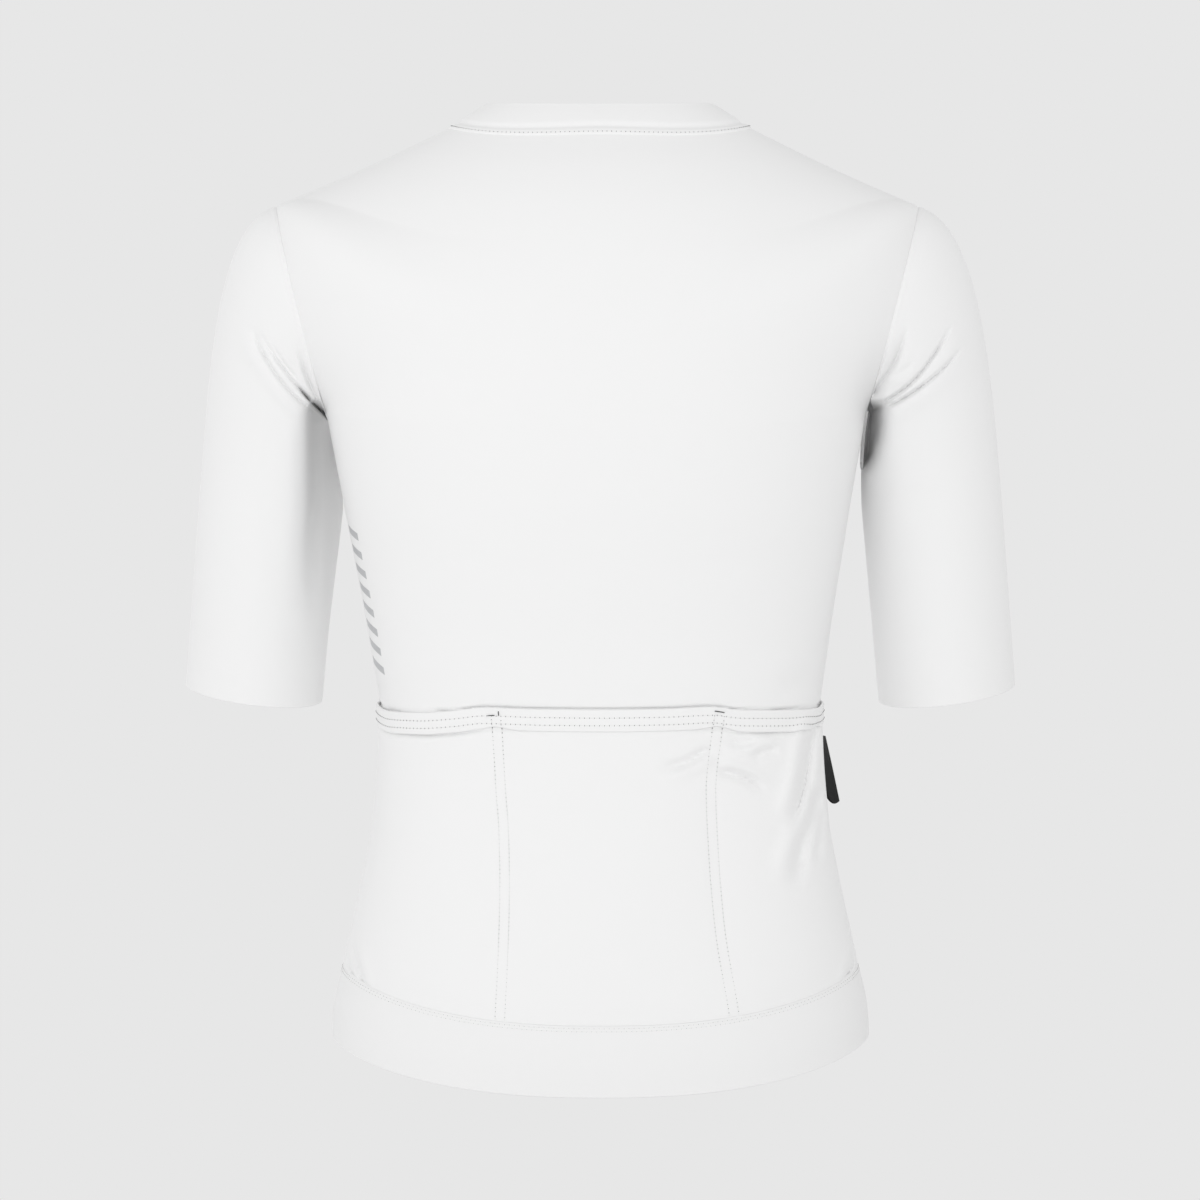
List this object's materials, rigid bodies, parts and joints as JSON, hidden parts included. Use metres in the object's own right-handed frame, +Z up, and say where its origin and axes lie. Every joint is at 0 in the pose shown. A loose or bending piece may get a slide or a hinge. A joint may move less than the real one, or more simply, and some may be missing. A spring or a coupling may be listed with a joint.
{
  "type": "cycling jersey",
  "caption": "Women's short-sleeved cycling jersey, filled out with nobody in it: full-length front zip, low collar, ribbed hem band, pockets across the lower back.",
  "frame": {"origin": "midway between the two points where a shoulder seam meets the collar, which is where a wearer's shoulders hold it up", "axes": "+Z up along the wearer's height, -Y out of the wearer's chest, +X towards the wearer's left arm"},
  "size_m": [0.521, 0.2319, 0.6049],
  "materials": {
    "white_knit": "fine matt polyester knit",
    "ribbed_band": "matt, finely ribbed elastic knit",
    "black_woven_tag": "matt woven",
    "white_zip": "satin"
  },
  "bodies": {
    "jersey": {"back_panel": "white_knit", "front_left": "white_knit", "front_right": "white_knit", "collar": "white_knit", "hem_band": "ribbed_band", "sleeve_left": "white_knit", "sleeve_right": "white_knit", "pocket_panel": "white_knit", "pocket_top_band": "white_knit", "side_tag": "black_woven_tag", "zip": "white_zip", "zip_slider": "white_zip"},
    "pull_tab": {"zip_pull_tab": "white_zip"}
  },
  "joints": [
    {"name": "pull_tab_hinge", "type": "hinge", "parent": "jersey", "child": "pull_tab", "pos_m": [0.00197, -0.0757, -0.05496], "axis": [-1, 0, 0], "range_deg": [0, 165]}
  ]
}
